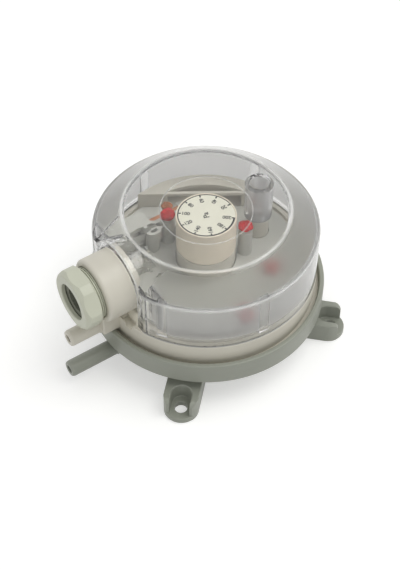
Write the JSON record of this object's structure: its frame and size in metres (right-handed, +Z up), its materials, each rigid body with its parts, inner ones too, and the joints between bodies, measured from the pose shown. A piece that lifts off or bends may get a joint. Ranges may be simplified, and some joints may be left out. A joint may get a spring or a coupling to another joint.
{
  "type": "differential pressure switch",
  "caption": "Round air differential pressure switch: two-part housing with hose ports, lugs, cable gland, diaphragm, changeover contact, setting dial and clear cover.",
  "frame": {"origin": "centre of the base's flat underside", "axes": "+Z up along the housing's axis through the setting dial; the hose ports and the cable gland point along -Y; the two mounting lugs are on the +X side"},
  "size_m": [0.085, 0.1005, 0.0552],
  "materials": {
    "grey_housing": "satin moulded",
    "ivory_housing": "satin moulded",
    "carrier_plastic": "satin moulded",
    "knob_plastic": "satin moulded",
    "white_plastic": "satin moulded",
    "gland_plastic": "satin moulded",
    "scale_print": "printed",
    "clear_cover": "clear moulded polystyrene, frosted on the wall and the slope",
    "silicone": "matte",
    "grey_rubber": "matte",
    "spring_steel": "drawn wire",
    "screw_steel": "zinc plated",
    "sealed_screw": "sealed with red lacquer",
    "tinned_brass": "stamped and tin plated",
    "copper_blade": "rolled copper alloy strip",
    "silver": "polished"
  },
  "bodies": {
    "housing": {"lower_housing": "grey_housing", "upper_housing": "ivory_housing", "diaphragm": "silicone", "plunger_seal": "silicone", "gland_body": "gland_plastic", "gland_seal": "grey_rubber", "switch_carrier": "carrier_plastic", "carrier_screws": "sealed_screw", "calibration_screws": "sealed_screw", "lever_pin": "screw_steel", "fixed_contacts": "silver", "common_terminal": "tinned_brass", "open_terminal": "tinned_brass", "closed_terminal": "tinned_brass", "terminal_screws": "screw_steel", "wire_clamps": "tinned_brass"},
    "dial": {"dial_knob": "knob_plastic", "dial_scale": "scale_print"},
    "seat": {"spring_seat": "white_plastic"},
    "plunger": {"diaphragm_plate": "white_plastic", "plunger_collar": "white_plastic", "setting_spring": "spring_steel"},
    "lever": {"switch_lever": "white_plastic"},
    "blade": {"contact_blade": "copper_blade", "moving_contact": "silver"},
    "cover": {"cover": "clear_cover"},
    "cover_screw": {"cover_screw": "screw_steel"},
    "gland_nut": {"gland_nut": "gland_plastic"}
  },
  "joints": [
    {"name": "dial_turn", "type": "hinge", "parent": "housing", "child": "dial", "pos_m": [0, 0, 0.0503], "axis": [0, 0, 1], "range_deg": [0, 324]},
    {"name": "seat_travel", "type": "slide", "parent": "housing", "child": "seat", "axis": [0, 0, -1], "range_m": [0, 0.00451], "deforming": ["setting_spring"]},
    {"name": "plunger_lift", "type": "slide", "parent": "housing", "child": "plunger", "axis": [0, 0, 1], "range_m": [0, 0.0008], "stiffness_N_per_m": 150, "deforming": ["diaphragm"]},
    {"name": "lever_tilt", "type": "hinge", "parent": "housing", "child": "lever", "pos_m": [-0.014, 0, 0.0323], "axis": [0, -1, 0], "range_deg": [0, 6.5]},
    {"name": "blade_flex", "type": "hinge", "parent": "housing", "child": "blade", "pos_m": [-0.021, -0.009, 0.03395], "axis": [-1, 0, 0], "range_deg": [0, 5.1]},
    {"name": "cover_lift", "type": "slide", "parent": "housing", "child": "cover", "axis": [0, 0, 1], "range_m": [0, 0.04]},
    {"name": "cover_screw_turn", "type": "hinge", "parent": "cover", "child": "cover_screw", "pos_m": [0, 0.0223, 0.04], "axis": [0, 0, 1], "continuous": true},
    {"name": "gland_nut_turn", "type": "hinge", "parent": "housing", "child": "gland_nut", "pos_m": [0, -0.0513, 0.041], "axis": [0, -1, 0], "continuous": true}
  ],
  "couplings": [
    {"joint": "seat_travel", "follows": "dial_turn", "m_per_rad": 0.00079577},
    {"joint": "lever_tilt", "follows": "plunger_lift", "rad_per_m": 138.89},
    {"joint": "blade_flex", "follows": "plunger_lift", "rad_per_m": 108.03}
  ]
}
